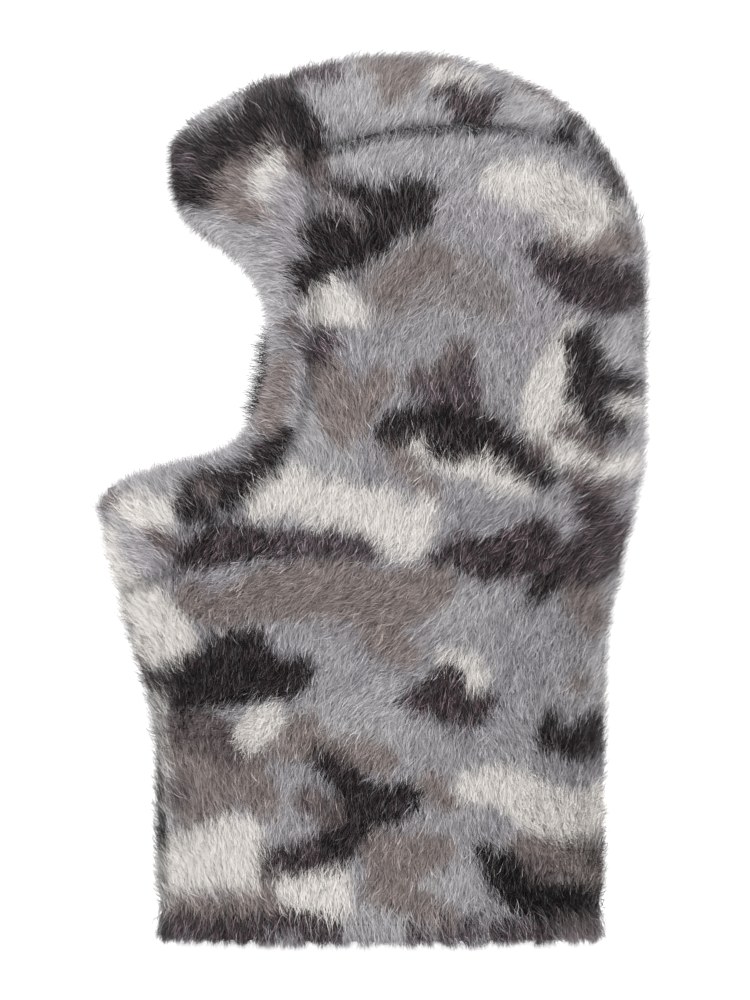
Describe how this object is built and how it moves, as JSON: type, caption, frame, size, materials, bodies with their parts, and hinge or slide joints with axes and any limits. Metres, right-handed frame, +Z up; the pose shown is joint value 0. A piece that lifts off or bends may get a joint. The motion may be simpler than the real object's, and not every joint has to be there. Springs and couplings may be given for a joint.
{
  "type": "faux-fur balaclava hood",
  "caption": "Full-head balaclava hood of soft long-pile camouflage fur: open face, projecting brim, covered chin and a straight neck that ends in a turned hem.",
  "frame": {"origin": "on the plane that the hem stands on, under the middle of the hood", "axes": "+Z up from hem to crown, -Y the way the face looks, +X the wearer's left"},
  "size_m": [0.172, 0.282, 0.4586],
  "materials": {
    "fur": "long soft pile with a blurred camouflage print",
    "lining": "smooth brushed jersey",
    "facing": "short plush",
    "thread": "spun polyester thread",
    "label": "plain woven tape, blank"
  },
  "bodies": {
    "hood": {"side_panel_left": "fur", "side_panel_right": "fur", "crown_panel": "fur", "front_neck_panel": "fur", "face_band_left": "fur", "face_band_right": "fur", "hem_band": "fur", "lining_left": "lining", "lining_right": "lining", "lining_crown": "lining", "lining_front_neck": "lining", "face_facing": "facing", "hem_facing": "facing", "crown_seam_left": "thread", "crown_seam_right": "thread", "face_band_seam_left": "thread", "face_band_seam_right": "thread", "front_seam_left": "thread", "front_seam_right": "thread", "back_seam": "thread", "face_band_centre_seams": "thread", "hem_stitching": "thread"},
    "label": {"care_label": "label"}
  },
  "joints": [
    {"name": "label_flip", "type": "hinge", "parent": "hood", "child": "label", "pos_m": [0, 0.1035, 0.15], "axis": [-1, 0, 0], "range_deg": [0, 160]}
  ]
}
